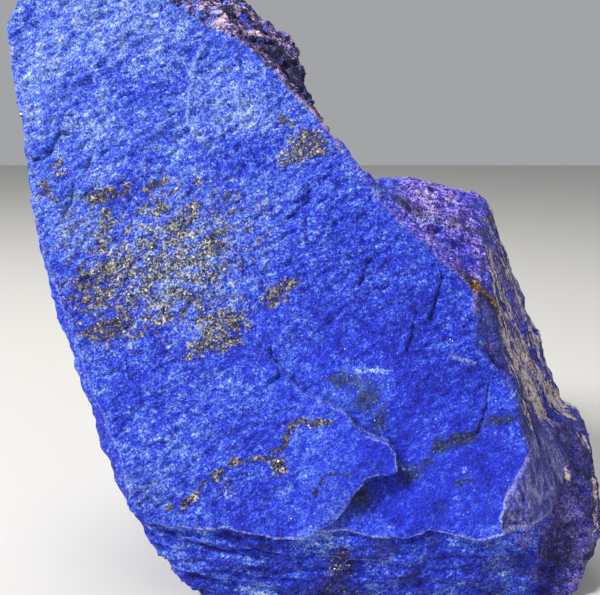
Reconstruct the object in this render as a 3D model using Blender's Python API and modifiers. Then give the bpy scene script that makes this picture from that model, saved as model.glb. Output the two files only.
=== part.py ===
"""Raw lapis lazuli: one broken block of the rock, about 27 cm tall, standing on its flattest break.

The block is flat-faced because the rock splits along its foliation. The big front face is one such
split, and every other face is a break across the layers. Sizes below are in millimetres, X to the
right, Y to the back and Z up, and the finished stone is centred on its own base.
"""

import math

import bmesh
import bpy
import numpy as np
from mathutils import Vector, noise

MM = 0.001

# The split front face leans back, and its lower edge overhangs the foot
FRONT_LEAN = math.radians(15)
FRONT_LIP_Y = -74
FRONT_LIP_Z = 38

# The stone's edges are worn to this size, it is roughened, then it is thinned to this many triangles,
# and the back is thinned more than the rest. The foot cut then takes about a tenth of them away
WEAR = 2.0
TRIANGLES = 10700
THIN_EVENLY = 0.5
THIN_BACK = 0.12

# Corners of the front face as X and Z, clockwise from the top left, each on the leaning plane
FRONT_CORNERS = [
    (-128, 242), (-124, 252), (-113, 261), (-91, 267), (-69, 263), (-47, 251), (-29, 236),
    (-13, 220), (7, 199), (23, 181), (50, 154), (67, 138), (84, 86), (88, 66), (85, 51),
    (79, 37), (55, 36), (-9, 35), (-55, 41), (-68, 46), (-76, 56), (-83, 82), (-92, 97),
    (-113, 156), (-117, 182), (-121, 214),
]

# The crest behind the upper right edge flares outwards, so it shows past the front
CREST_CORNERS = [
    (-70, 34, 273), (-50, 38, 269), (-30, 40, 261), (-16, 42, 249), (-15, 40, 238), (-15, 33, 230),
    (-9, 20, 219), (-1, -2, 207), (-110, 26, 262), (-120, 20, 236), (-114, 30, 200), (-26, 62, 222),
    (-80, 62, 226),
]

# The break under the crest, a notch that runs in behind the upper right edge of the front
NOTCH_CORNERS = [
    (8, -33, 200), (30, -39, 178), (51, -45, 155), (70, -50, 137), (0, -1, 208), (-13, 36, 229),
    (-12, 90, 240), (-26, 90, 176), (40, 90, 110), (140, -60, 210), (140, 90, 210), (60, -45, 290),
    (60, 90, 290), (140, -60, 120), (140, 90, 100),
]

# The right-hand edge, where the front turns into the streaked side
RIGHT_EDGE_CORNERS = [
    (80, -32, 124), (85, -31, 113), (93, -31, 97), (98, -39, 83), (101, -48, 69), (104, -53, 53),
    (108, -52, 43), (104, -57, 38), (93, -65, 37), (82, -73, 35),
]

# The lower left edge and the undercut down to the foot
LEFT_EDGE_CORNERS = [
    (-97, -44, 84), (-93, -46, 76), (-89, -48, 66), (-86, -49, 60), (-83, -53, 47), (-76, -57, 38),
    (-69, -61, 26), (-61, -63, 16), (-52, -63, 9), (-38, -62, 4), (-33, -60, -8),
    (50, -62, -8), (102, -56, -8), (100, -60, 6),
]

# The main slab's back and the heel of its foot
SLAB_BACK_CORNERS = [
    (-104, 22, 140), (-84, 60, 170), (-78, 16, 40), (-48, 44, -8), (-50, 68, 70), (10, 74, 110),
    (30, 66, 40), (40, 54, -8), (-10, 66, 190),
]

# The shoulder behind the slab, with a violet shelf on top and a streaked right side
SHOULDER_CORNERS = [
    (26, -22, 178), (28, -19, 176), (41, 1, 177), (56, 9, 173), (64, 11, 172), (79, 15, 171),
    (84, 15, 168), (88, 14, 162), (90, 12, 156), (95, 9, 142), (99, 7, 133), (104, 4, 116),
    (106, -2, 103), (111, -7, 90), (115, -11, 81), (119, -15, 74), (76, -15, 150), (74, -31, 130),
    (80, -33, 123), (92, -30, 96), (22, 48, 164), (70, 62, 150), (90, 52, 110), (100, 38, 60),
    (0, 76, 90), (102, 20, 20), (10, 66, -8), (92, 44, -8), (104, -44, 70), (60, -40, 60),
    (-20, 60, 120), (-30, 60, 30),
]

# The lower right toe, a step behind the front
TOE_CORNERS = [
    (118, -19, 74), (124, -19, 72), (128, -24, 66), (129, -28, 60), (129, -34, 48), (128, -41, 37),
    (126, -50, 20), (120, -56, 12), (118, -59, 8), (114, -62, 3), (110, -62, -8), (84, -58, -8),
    (100, -47, 74), (112, -46, 38), (106, -56, 24), (118, 10, 56), (122, -4, 20), (112, 26, -8),
    (80, 30, -8), (80, 20, 66),
]

# Shell-shaped scars where flakes came off: centre and radius of the ball that shapes each hollow
FLAKE_SCARS = [
    ((-212, 96, 150), 118),
    ((-70, 176, 226), 120),
    ((66, 206, 156), 140),
    ((-86, 158, 30), 104),
    ((182, 96, 124), 90),
    ((30, 168, 16), 102),
]

# The thick leaf left on the lower left of the front ends in a broken edge, with a step down to its
# right: X, Z and the height of the step
LEAF_EDGE = [
    (-52, 112, 0.0), (-18, 107, 1.0), (-8, 98, 1.8), (5, 92, 2.4), (13, 86, 2.8), (20, 80, 3.2),
    (28, 75, 4.0), (34, 70, 4.6), (32, 63, 5.0), (26, 59, 5.0), (19, 56, 4.6), (14, 50, 3.8),
    (9, 44, 3.0), (0, 36, 2.4),
]
LEAF_REACH = 38
LEAF_STEP_RUN = 3.2

# A crescent hollow right of the leaf's corner, where a flake lifted: centre, half sizes and depth
HOLLOW = ((30, 52), (15, 14), 3.4)

# The bevel down the right of the front starts at this X, and fades in between these heights
BEVEL_X = 66
BEVEL_Z = (88, 104)
BEVEL_SLOPE = math.tan(math.radians(30))

# Cracks in the front, as the lines that their floors follow, and how deep they run
CRACKS = [
    [(53, 145), (51, 136), (50, 130), (48, 121)],
    [(41, 119), (41, 114), (38, 109)],
    [(-3, 181), (-2, 175), (-4, 169), (-8, 165)],
    [(-3, 161), (-4, 156), (-3, 151)],
    [(-101, 197), (-108, 191), (-112, 188), (-120, 188)],
    [(74, 96), (73, 87), (71, 82), (69, 72), (58, 68), (52, 64)],
]
CRACK_DEPTH = 1.6
CRACK_WIDTH = 1.5

# Roughness of the breaks, as the size across and the height of lumps, small and broad
BROAD_LUMPS = (46, 2.2)
SMALL_LUMPS = (14, 1.2)
FRONT_SMOOTHER_BROAD = 0.7
FRONT_SMOOTHER_SMALL = 0.3

# Ledges where leaves of rock broke off along the layers: size across, reach in depth, and thickness
FRONT_LEDGES = (52, 1.6, 1.0)
BACK_LEDGES = (84, 6.0, 3.0)
LEDGE_EDGE = 0.25

# The layers show as ribs on the breaks that cross them: spacing, height, and how they wander
RIB_SPACING = 6.5
RIB_HEIGHT = 2.2
RIB_WANDER = (60, 5)

# The crest's break grows coarser between these heights
CREST_Z = (196, 216)

# The front's relief fades out between these distances behind its plane
FRONT_SKIN = (8, 16)

# How squarely a surface looks along an axis before it counts as facing that way, from not to wholly
FRONT_FACING = (0.55, 0.85)
BACK_FACING = (0.3, 0.7)
CREST_FACING = (0.0, 0.4)


def front_y(z):
    """Where the leaning front plane is at this height."""
    return FRONT_LIP_Y + math.tan(FRONT_LEAN) * (z - FRONT_LIP_Z)


def hull_block(name, corners):
    """A faceted block whose breaks are the flat faces around its corners."""
    bm = bmesh.new()
    for corner in corners:
        bm.verts.new(Vector(corner) * MM)
    hull = bmesh.ops.convex_hull(bm, input=bm.verts)
    inner = {v for v in hull["geom_interior"] if isinstance(v, bmesh.types.BMVert)}
    bmesh.ops.delete(bm, geom=list(inner), context="VERTS")
    bmesh.ops.recalc_face_normals(bm, faces=bm.faces)
    mesh = bpy.data.meshes.new(name)
    bm.to_mesh(mesh)
    bm.free()
    return bpy.data.objects.new(name, mesh)


def scar_cutter(index, centre, radius):
    """A large ball that takes one shell-shaped flake off the stone."""
    bm = bmesh.new()
    bmesh.ops.create_icosphere(bm, subdivisions=4, radius=radius * MM)
    bmesh.ops.translate(bm, verts=bm.verts, vec=Vector(centre) * MM)
    mesh = bpy.data.meshes.new(f"flake_{index}")
    bm.to_mesh(mesh)
    bm.free()
    return bpy.data.objects.new(f"flake_{index}", mesh)


def combine(target, others, operation):
    """Joins other blocks to this one, or cuts them out of it."""
    for other in others:
        boolean = target.modifiers.new(other.name, "BOOLEAN")
        boolean.operation = operation
        boolean.object = other


def settle(obj):
    """Replaces the object's mesh by what its modifiers make."""
    graph = bpy.context.evaluated_depsgraph_get()
    made = bpy.data.meshes.new_from_object(obj.evaluated_get(graph))
    obj.modifiers.clear()
    obj.data = made


def nearest_on_line(x, z, line):
    """For each point of the front, its distance to a line, its side of it, and how far along it is."""
    nearest = np.full(len(x), np.inf)
    side = np.ones(len(x))
    along_line = np.zeros(len(x))
    for i, (start, end) in enumerate(zip(line, line[1:])):
        dx, dz = end[0] - start[0], end[1] - start[1]
        along = np.clip(((x - start[0]) * dx + (z - start[1]) * dz) / (dx * dx + dz * dz), 0, 1)
        gap_x, gap_z = x - start[0] - along * dx, z - start[1] - along * dz
        gap = np.hypot(gap_x, gap_z)
        closer = gap < nearest
        nearest = np.where(closer, gap, nearest)
        side = np.where(closer, np.sign(dx * gap_z - dz * gap_x), side)
        along_line = np.where(closer, i + along, along_line)
    return nearest, side, along_line


def ramp(value, low, high):
    """Rises smoothly from 0 at low to 1 at high."""
    t = np.clip((value - low) / (high - low), 0, 1)
    return t * t * (3 - 2 * t)


def front_depth(x, z):
    """How far the front lies behind its plane: the leaf's step, the hollow, the bevel and the cracks."""
    gap, side, along = nearest_on_line(x, z, LEAF_EDGE)
    drop = np.interp(along, range(len(LEAF_EDGE)), [height for _, _, height in LEAF_EDGE])
    fallen = np.where(side > 0, ramp(gap, 0, LEAF_STEP_RUN), 0)
    depth = drop * fallen * np.exp(-gap / LEAF_REACH)
    (cx, cz), (rx, rz), hollow_depth = HOLLOW
    bowl = np.clip(1 - ((x - cx) / rx) ** 2 - ((z - cz) / rz) ** 2, 0, None)
    depth += hollow_depth * bowl * fallen
    depth += ramp(z, *BEVEL_Z) * BEVEL_SLOPE * np.clip(x - BEVEL_X, 0, None)
    for crack in CRACKS:
        gap, side, along = nearest_on_line(x, z, crack)
        depth += CRACK_DEPTH * (1 - ramp(gap, 0, CRACK_WIDTH))
    return depth


def fractal(points, size, octaves, seed):
    """Smooth noise of about plus or minus 1, whose lumps are this many millimetres across."""
    shift = Vector((seed * 17.3, seed * 5.1, seed * 9.7))
    return np.array([noise.fractal(Vector(p) / size + shift, 0.9, 2.0, octaves) for p in points])


def ledges(points, size, reach, thickness, seed):
    """Stepped ledges where leaves of this thickness broke off."""
    level = reach * fractal(points, size, 2, seed) / thickness
    tread = np.floor(level)
    return thickness * (tread + ramp(level - tread, 1 - LEDGE_EDGE, 1))


def roughen(obj):
    """Carves the front's relief, and gives every break its lumps, ledges and the edges of its layers."""
    mesh = obj.data
    count = len(mesh.vertices)
    points = np.empty(count * 3)
    normals = np.empty(count * 3)
    mesh.vertices.foreach_get("co", points)
    mesh.vertex_normals.foreach_get("vector", normals)
    points = points.reshape(-1, 3) / MM
    normals = normals.reshape(-1, 3)
    x, y, z = points.T
    across = np.array([0, -math.cos(FRONT_LEAN), math.sin(FRONT_LEAN)])
    facing = normals @ across
    behind = y - front_y(z)
    on_front = ramp(facing, *FRONT_FACING) * (1 - ramp(behind, *FRONT_SKIN))
    on_back = ramp(-facing, *BACK_FACING)
    on_crest = ramp(z, *CREST_Z) * ramp(normals[:, 0], *CREST_FACING) * (1 - on_front)
    depth = front_depth(x, z) * on_front
    depth += ledges(points, *FRONT_LEDGES, 4) * on_front
    depth -= ledges(points, *BACK_LEDGES, 5) * on_back
    broad_size, broad_height = BROAD_LUMPS
    small_size, small_height = SMALL_LUMPS
    lumps = broad_height * fractal(points, broad_size, 3, 1) * (1 - FRONT_SMOOTHER_BROAD * on_front)
    small = small_height * fractal(points, small_size, 3, 2)
    lumps += small * (1 - FRONT_SMOOTHER_SMALL * on_front + on_crest)
    # The layers lie along the front, so the other breaks cross them and show their edges as ribs
    wander_size, wander_height = RIB_WANDER
    layer = points @ across + wander_height * fractal(points, wander_size, 2, 3)
    ribs = np.array([noise.noise(Vector((depth_in / RIB_SPACING, 3.1, 7.7))) for depth_in in layer])
    ribs *= RIB_HEIGHT * (1 - facing**2) * (1 - on_front)
    moved = points + normals * (lumps + ribs)[:, None] - across * depth[:, None]
    mesh.vertices.foreach_set("co", (moved * MM).ravel())
    mesh.update()


def thinning_weights(obj):
    """A vertex group by which the back is thinned more than the parts that face the front."""
    group = obj.vertex_groups.new(name="thin_more")
    for vertex in obj.data.vertices:
        weight = THIN_EVENLY + THIN_BACK * max(0, vertex.normal.y)
        group.add([vertex.index], weight, "REPLACE")
    return group.name


def stand_on_foot(obj):
    """Cuts the foot flat, and puts the middle of the stone's outline on the origin."""
    bm = bmesh.new()
    bm.from_mesh(obj.data)
    geometry = list(bm.verts) + list(bm.edges) + list(bm.faces)
    cut = bmesh.ops.bisect_plane(
        bm, geom=geometry, plane_co=(0, 0, 0), plane_no=(0, 0, -1), clear_outer=True
    )
    rim = [e for e in cut["geom_cut"] if isinstance(e, bmesh.types.BMEdge)]
    bmesh.ops.holes_fill(bm, edges=rim, sides=0)
    bmesh.ops.triangulate(bm, faces=bm.faces)
    low = Vector(min(v.co[i] for v in bm.verts) for i in range(3))
    high = Vector(max(v.co[i] for v in bm.verts) for i in range(3))
    middle = (low + high) / 2
    bmesh.ops.translate(bm, verts=bm.verts, vec=(-middle.x, -middle.y, 0))
    bm.to_mesh(obj.data)
    bm.free()


def stone_material():
    """Ultramarine rock with a dull, grainy break."""
    material = bpy.data.materials.new("lapis_rock")
    material.use_nodes = True
    shader = material.node_tree.nodes["Principled BSDF"]
    shader.inputs["Base Color"].default_value = (0.03, 0.06, 0.62, 1)
    shader.inputs["Roughness"].default_value = 0.75
    shader.inputs["Metallic"].default_value = 0.0
    return material


def build_stone():
    """The whole stone: its masses joined, its flakes broken off, its breaks roughened, its foot cut."""
    stones = bpy.data.collections.new("raw_lapis_lazuli")
    helpers = bpy.data.collections.new("helpers")
    helpers.hide_render = True
    bpy.context.scene.collection.children.link(stones)
    bpy.context.scene.collection.children.link(helpers)

    front = [(x, front_y(z), z) for x, z in FRONT_CORNERS]
    slab_corners = front + CREST_CORNERS + RIGHT_EDGE_CORNERS + LEFT_EDGE_CORNERS + SLAB_BACK_CORNERS
    stone = hull_block("lapis_lazuli_stone", slab_corners)
    stones.objects.link(stone)
    notch = [hull_block("notch", NOTCH_CORNERS)]
    masses = [hull_block("shoulder", SHOULDER_CORNERS), hull_block("toe", TOE_CORNERS)]
    scars = [scar_cutter(i, centre, radius) for i, (centre, radius) in enumerate(FLAKE_SCARS)]
    for helper in notch + masses + scars:
        helpers.objects.link(helper)
        helper.hide_render = True
        helper.display_type = "WIRE"

    combine(stone, notch, "DIFFERENCE")
    combine(stone, masses, "UNION")
    combine(stone, scars, "DIFFERENCE")
    wear = stone.modifiers.new("wear", "REMESH")
    wear.mode = "VOXEL"
    wear.voxel_size = WEAR * MM
    settle(stone)
    roughen(stone)

    thin = stone.modifiers.new("thin", "DECIMATE")
    triangles = sum(len(face.vertices) - 2 for face in stone.data.polygons)
    thin.ratio = TRIANGLES / triangles
    thin.vertex_group = thinning_weights(stone)
    settle(stone)
    stand_on_foot(stone)
    stone.data.materials.clear()
    stone.data.materials.append(stone_material())
    stone.data.shade_smooth()
    stone.data.set_sharp_from_angle(angle=math.radians(40))


for old in list(bpy.data.objects):
    bpy.data.objects.remove(old)
build_stone()
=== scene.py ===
import math

import bmesh
import bpy
import numpy as np
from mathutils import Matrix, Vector, noise


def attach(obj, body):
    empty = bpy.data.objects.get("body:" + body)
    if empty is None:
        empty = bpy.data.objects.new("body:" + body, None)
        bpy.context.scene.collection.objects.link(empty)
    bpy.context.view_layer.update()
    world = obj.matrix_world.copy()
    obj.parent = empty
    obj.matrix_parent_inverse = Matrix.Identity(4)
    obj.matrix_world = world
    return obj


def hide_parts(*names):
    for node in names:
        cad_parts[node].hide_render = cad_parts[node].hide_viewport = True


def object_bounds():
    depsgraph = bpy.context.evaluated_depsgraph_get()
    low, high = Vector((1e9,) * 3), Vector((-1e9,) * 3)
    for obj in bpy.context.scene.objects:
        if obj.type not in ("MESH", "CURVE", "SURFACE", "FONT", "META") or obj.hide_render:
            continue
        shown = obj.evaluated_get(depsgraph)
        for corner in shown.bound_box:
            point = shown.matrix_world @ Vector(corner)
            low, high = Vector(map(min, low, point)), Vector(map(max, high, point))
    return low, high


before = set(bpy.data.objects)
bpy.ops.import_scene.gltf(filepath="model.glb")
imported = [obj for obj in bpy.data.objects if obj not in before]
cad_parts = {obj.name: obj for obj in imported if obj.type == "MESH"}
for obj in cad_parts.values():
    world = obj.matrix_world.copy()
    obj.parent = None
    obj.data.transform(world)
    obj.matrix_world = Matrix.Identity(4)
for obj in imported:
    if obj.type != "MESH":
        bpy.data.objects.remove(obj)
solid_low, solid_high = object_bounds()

# The block's shape
# One broken lump of lapis lazuli, a fine blue rock that splits along its layers. The big leaning front
# is one split, the other faces are breaks across the layers, and nothing on it was cut or polished.

# The split leans back from a lip, given as Y and Z. Sizes are in millimetres and slopes in degrees.
MM = 0.001
SPLIT_LEAN = math.radians(15)
SPLIT_LIP = (-76.2, 38.0)
WRINKLE_SLOPE = 30
ROCK_GRID = 1.6
ROCK_TRIANGLES = 196000

# Where the stone's faces begin, each as the two heights or places in X between which it fades in, how
# soft the split's outline is, and how far a line laid out on the front strays
BAND_TOP = (44, 52)
CREST_FOOT = (182, 208)
SIDE_START = (70, 80)
SHOULDER_START = (16, 26)
SHOULDER_FOOT = (118, 134)
EDGE_BLUR = 0.7
LINE_STRAY = 1.2

# The outline of the split face as X and Z in millimetres, clockwise from its top left corner
SPLIT_OUTLINE = [
    (-129, 240), (-126, 251), (-115, 261), (-92, 268), (-72, 262), (-57, 249), (-46, 243), (-37, 239),
    (-31, 236), (-25, 231), (-16, 223), (-7, 212), (0, 205), (7, 196), (18, 182), (27, 171), (33, 165),
    (39, 158), (47, 152), (52, 147), (57, 142), (62, 138), (67, 132), (67, 110), (75, 103), (83, 98),
    (85, 81), (88, 72), (85, 63), (81, 56), (78, 49), (76, 44), (78, 37), (68, 35), (60, 36), (53, 37),
    (47, 38), (38, 35), (25, 36), (17, 37), (10, 38), (2, 38), (-5, 36), (-15, 36), (-26, 38),
    (-37, 41), (-48, 40), (-61, 41), (-72, 43), (-75, 50), (-78, 62), (-81, 72), (-86, 84), (-93, 98),
    (-114, 156), (-118, 182), (-122, 214),
]

# The leaf left on the lower left of the split ends in a broken edge: X, Z and the height of its step,
# which is highest at its corner, and a crescent hollow beside it
LEAF_EDGE = [
    (-40, 112, 0.4), (-19, 107, 1.6), (-3, 93, 2.6), (11, 87, 3.2), (16, 81, 3.6), (21, 77, 3.6),
    (30, 74, 4.2), (34, 69, 4.8), (34, 61, 5.0), (25, 61, 4.8), (20, 60, 4.6), (16, 53, 4.2),
    (13, 47, 3.6), (10, 44, 3.0), (5, 41, 2.4), (-1, 37, 1.8), (-6, 30, 1.4),
]
LEAF_REACH = 38
HOLLOW = ((29, 52), (15, 14), 3.4)

# Outside the outline the stone falls away by a slope, up to a depth, and is undercut below the lip.
# The crest is pitted, and the back and left are hackly.
FALL_SLOPE = 0.5
FALL_DEPTH = 3.5
UNDERCUT_DEPTH = 3.4
UNDERCUT_REACH = 13
PIT_DEPTH = 2.2
HACKLY_HEIGHT = 2.6

# Cracks and nicks in the split, each as its line, depth and width
CRACKS = [
    ([(-121, 187), (-114, 187), (-110, 191), (-106, 197), (-101, 198)], 1.3, 1.3),
    ([(-93.5, 187), (-94.5, 182)], 1.4, 1.2),
    ([(-100, 176), (-101, 169), (-104, 165)], 1.1, 1.1),
    ([(-2, 175), (-3, 170), (-6, 167), (-11, 164)], 1.2, 1.2),
    ([(-3, 163), (-3, 152)], 0.9, 1.1),
    ([(-29, 147), (-29, 140)], 1.0, 1.2),
    ([(53, 139), (51, 132), (50, 127), (48, 122)], 1.5, 1.3),
    ([(23, 146), (21, 140), (19, 136)], 1.2, 1.2),
    ([(41, 121), (40, 115), (38, 110)], 1.2, 1.2),
    ([(73, 95), (72, 89), (70, 84), (68, 76)], 1.1, 1.2),
    ([(-18, 111), (-16, 105), (-15, 101), (-18, 98)], 1.6, 1.3),
    ([(68, 76), (61, 75), (55, 73), (50, 69)], 0.6, 1.2),
]

# Low raised edges where a thin leaf stops, each as its line and height: the stone to a line's left,
# seen along it, is the higher side
RAISED_LINES = [
    ([(-47, 233), (-52, 224), (-52, 210), (-53, 203), (-50, 196), (-46, 193)], 1.4),
    ([(-33, 216), (-31, 202)], 0.8),
    ([(-121, 203), (-110, 204)], 0.6),
    ([(-6, 158), (-24, 128), (-22, 118)], 0.4),
    ([(56, 108), (66, 104)], 0.5),
]

# Ledges of broken layers in the band above the foot, each as its line in X and Z and its height
LEDGES = [
    ([(-70, 38), (-60, 37), (-48, 32), (-40, 30), (-26, 30), (-10, 27)], 1.3),
    ([(-64, 24), (-57, 18), (-44, 15), (-32, 12), (-18, 10)], 1.1),
    ([(0, 27), (16, 24), (34, 22), (52, 25)], 1.0),
    ([(30, 12), (52, 14), (78, 11)], 0.9),
]

out_of_split = np.array([0, -math.cos(SPLIT_LEAN), math.sin(SPLIT_LEAN)])
up_split = np.array([0, math.sin(SPLIT_LEAN), math.cos(SPLIT_LEAN)])


def rise(value, low, high):
    """Rises smoothly from 0 at low to 1 at high."""
    t = np.clip((value - low) / (high - low), 0, 1)
    return t * t * (3 - 2 * t)


def rock_noise(points, size, octaves, seed):
    """Smooth noise of about plus or minus 1, with lumps of this many millimetres along each axis."""
    shift = Vector((seed * 17.3, seed * 5.1, seed * 9.7))
    scaled = (points / np.array(size)).tolist()
    return np.array([noise.fractal(Vector(p) + shift, 0.9, 2.0, octaves) for p in scaled])


def near_line(x, z, line):
    """For each point, its distance to a line on the front, which side it is on, and how far along."""
    nearest = np.full(len(x), np.inf)
    side = np.ones(len(x))
    along_line = np.zeros(len(x))
    for i, (start, end) in enumerate(zip(line, line[1:])):
        dx, dz = end[0] - start[0], end[1] - start[1]
        along = np.clip(((x - start[0]) * dx + (z - start[1]) * dz) / (dx * dx + dz * dz), 0, 1)
        gap_x, gap_z = x - start[0] - along * dx, z - start[1] - along * dz
        gap = np.hypot(gap_x, gap_z)
        closer = gap < nearest
        nearest = np.where(closer, gap, nearest)
        side = np.where(closer, np.sign(dx * gap_z - dz * gap_x), side)
        along_line = np.where(closer, i + along, along_line)
    return nearest, side, along_line


def inside(x, z, outline):
    """How far each point lies inside a closed outline, in millimetres, and below zero outside it."""
    closed = outline + outline[:1]
    within = np.zeros(len(x), bool)
    for (start_x, start_z), (end_x, end_z) in zip(closed, closed[1:]):
        if start_z != end_z:
            crosses = (start_z > z) != (end_z > z)
            within ^= crosses & (x < start_x + (z - start_z) * (end_x - start_x) / (end_z - start_z))
    return np.where(within, 1, -1) * near_line(x, z, closed)[0]


def wander(points):
    """X and Z pushed about a little, so that lines laid out on the front come out ragged."""
    front = points * (1, 0, 1)
    return (points[:, 0] + LINE_STRAY * rock_noise(front, (10, 10, 10), 3, 31),
            points[:, 2] + LINE_STRAY * rock_noise(front, (10, 10, 10), 3, 32))


def settle(obj):
    """Replaces an object's mesh by what its modifiers make."""
    graph = bpy.context.evaluated_depsgraph_get()
    made = bpy.data.meshes.new_from_object(obj.evaluated_get(graph))
    obj.modifiers.clear()
    obj.data = made


def put_points(mesh, points):
    """Moves a mesh's points, in millimetres, and keeps them inside the solid's box."""
    points = np.clip(points, np.array(solid_low) / MM, np.array(solid_high) / MM)
    mesh.vertices.foreach_set("co", (points * MM).ravel())
    mesh.update()


def mesh_arrays(mesh):
    """A mesh's points in millimetres and its outward directions."""
    points = np.empty(len(mesh.vertices) * 3)
    normals = np.empty(len(mesh.vertices) * 3)
    mesh.vertices.foreach_get("co", points)
    mesh.vertex_normals.foreach_get("vector", normals)
    return points.reshape(-1, 3) / MM, normals.reshape(-1, 3)


def faces_of_rock(points, normals):
    """How much each point belongs to the stone's own faces, from 0 to 1, by their names."""
    x, y, z = points.T
    lip_y, lip_z = SPLIT_LIP
    behind = (y - lip_y) * math.cos(SPLIT_LEAN) - (z - lip_z) * math.sin(SPLIT_LEAN)
    facing = normals @ out_of_split
    right = normals[:, 0]
    edge = inside(*wander(points), SPLIT_OUTLINE)
    near_front = rise(facing, 0.05, 0.4) * (1 - rise(behind, 11, 17))
    split = rise(edge, -EDGE_BLUR, EDGE_BLUR) * near_front
    calm = split * (1 - rise(z + 0.4 * x, 90, 150)) * rise(x, -50, 20)
    rest = 1 - split
    ragged = rock_noise(points, (20, 20, 20), 4, 33)
    band = (1 - rise(z, *BAND_TOP)) * rise(facing, -0.2, 0.3) * rest
    crest = rise(z + 18 * ragged, *CREST_FOOT) * rise(right + 0.3 * ragged, -0.25, 0.2) * rest
    side = rise(right + 0.1 * ragged, 0.4, 0.62) * rise(x, *SIDE_START) * rest * (1 - crest)
    shoulder = rise(x, *SHOULDER_START) * rise(z + 8 * ragged, *SHOULDER_FOOT) * rest
    shoulder = shoulder * (1 - side) * (1 - crest)
    return {
        "split": split, "calm": calm, "band": band, "crest": crest, "side": side, "shoulder": shoulder,
        "behind": behind, "facing": facing, "edge": edge, "near_front": near_front, "ragged": ragged,
        "back": rise(-facing, 0.0, 0.4), "left": rise(-right, 0.5, 0.8) * (1 - near_front),
    }


block = bpy.data.objects.new("lapis_block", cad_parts["lapis_lazuli_stone"].data.copy())
bpy.context.scene.collection.objects.link(block)
solid = bmesh.new()
solid.from_mesh(block.data)
bmesh.ops.remove_doubles(solid, verts=solid.verts, dist=0.01 * MM)
solid.to_mesh(block.data)
solid.free()

remesh = block.modifiers.new("even_grid", "REMESH")
remesh.mode = "VOXEL"
remesh.voxel_size = ROCK_GRID * MM
ease = block.modifiers.new("ease", "SMOOTH")
ease.factor = 0.5
ease.iterations = 4
settle(block)

# The sides that carry the fine breaks get four faces for each one
points, normals = mesh_arrays(block.data)
faces = faces_of_rock(points, normals)
fine = np.maximum.reduce([faces[name] for name in ("near_front", "crest", "side", "shoulder")]) > 0.3
finer = bmesh.new()
finer.from_mesh(block.data)
finer.verts.ensure_lookup_table()
fine_edges = [e for e in finer.edges if fine[e.verts[0].index] and fine[e.verts[1].index]]
bmesh.ops.subdivide_edges(finer, edges=fine_edges, cuts=1, use_grid_fill=True)
bmesh.ops.triangulate(finer, faces=finer.faces)
finer.to_mesh(block.data)
finer.free()

points, normals = mesh_arrays(block.data)
x, y, z = points.T
wander_x, wander_z = wander(points)
faces = faces_of_rock(points, normals)
split, near_front, behind, edge = (faces[name] for name in ("split", "near_front", "behind", "edge"))

# The split is brought back to its plane, crisp at its outline and at the leaf's broken edge, and
# keeps the solid's own unevenness away from both
gap, turned, along = near_line(wander_x, wander_z, LEAF_EDGE)
drop = np.interp(along, range(len(LEAF_EDGE)), [step for _, _, step in LEAF_EDGE])
fallen = np.where(turned > 0, rise(gap, 0, 0.9), 0)
(hollow_x, hollow_z), (hollow_long, hollow_high), hollow_depth = HOLLOW
bowl = np.clip(1 - ((x - hollow_x) / hollow_long) ** 2 - ((z - hollow_z) / hollow_high) ** 2, 0, None)
leaf_depth = fallen * (drop * np.exp(-gap / LEAF_REACH) + hollow_depth * bowl)
leaf_depth -= 0.5 * (1 - fallen) * np.exp(-((gap / 2.5) ** 2)) * (drop > 1.5)
kept = rise(edge, 1.5, 9) * rise(gap, 3, 9)
broad = 0.5 * rock_noise(points, (34, 34, 34), 2, 22)
depth = behind * kept + (leaf_depth + broad) * (1 - kept)
sink = split * (depth - behind)

past = np.clip(-edge, 0, None)
fall = np.clip(FALL_SLOPE * past, 0, FALL_DEPTH)
sink += near_front * (1 - split) * np.clip(fall - behind, 0, None)
undercut = UNDERCUT_DEPTH * (1 - np.exp(-past)) * np.exp(-past / UNDERCUT_REACH)
sink += near_front * (1 - split) * (1 - rise(z, 40, 48)) * undercut
sink *= rise(z, 0.5, 6)
put_points(block.data, points - out_of_split * sink[:, None])

# Places turned along the wrinkles of the split, and along the layers
points, normals = mesh_arrays(block.data)
faces = faces_of_rock(points, normals)
split, calm, band, crest, shoulder = (
    faces[name] for name in ("split", "calm", "band", "crest", "shoulder")
)
rest = 1 - split
x, y, z = points.T
wrinkle_turn = math.radians(WRINKLE_SLOPE)
face_up = points @ up_split
face_in = -points @ out_of_split
along_wrinkle = x * math.cos(wrinkle_turn) + face_up * math.sin(wrinkle_turn)
over_wrinkle = face_up * math.cos(wrinkle_turn) - x * math.sin(wrinkle_turn)
wrinkle_points = np.column_stack([along_wrinkle, over_wrinkle, face_in])
layer_points = np.column_stack([x, face_up, face_in])

# The relief begins with the cracks, the raised edges and the ledges
height = np.zeros(len(points))
wander_x, wander_z = wander(points)
for line, crack_depth, width in CRACKS:
    gap, _, _ = near_line(wander_x, wander_z, line)
    height -= split * crack_depth * (1 - rise(gap, 0, width))
for line, raised in RAISED_LINES:
    gap, turned, _ = near_line(wander_x, wander_z, line)
    leaf_step = 0.9 * np.clip(turned * gap, -0.8, 0.8) * np.exp(-gap / 9)
    height += split * raised * (0.8 * np.exp(-((gap / 1.2) ** 2)) + leaf_step)
for line, ledge in LEDGES:
    gap, turned, _ = near_line(wander_x, wander_z, line)
    height += band * ledge * np.clip(turned * gap, -0.8, 0.8) * np.exp(-gap / 5)

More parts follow.
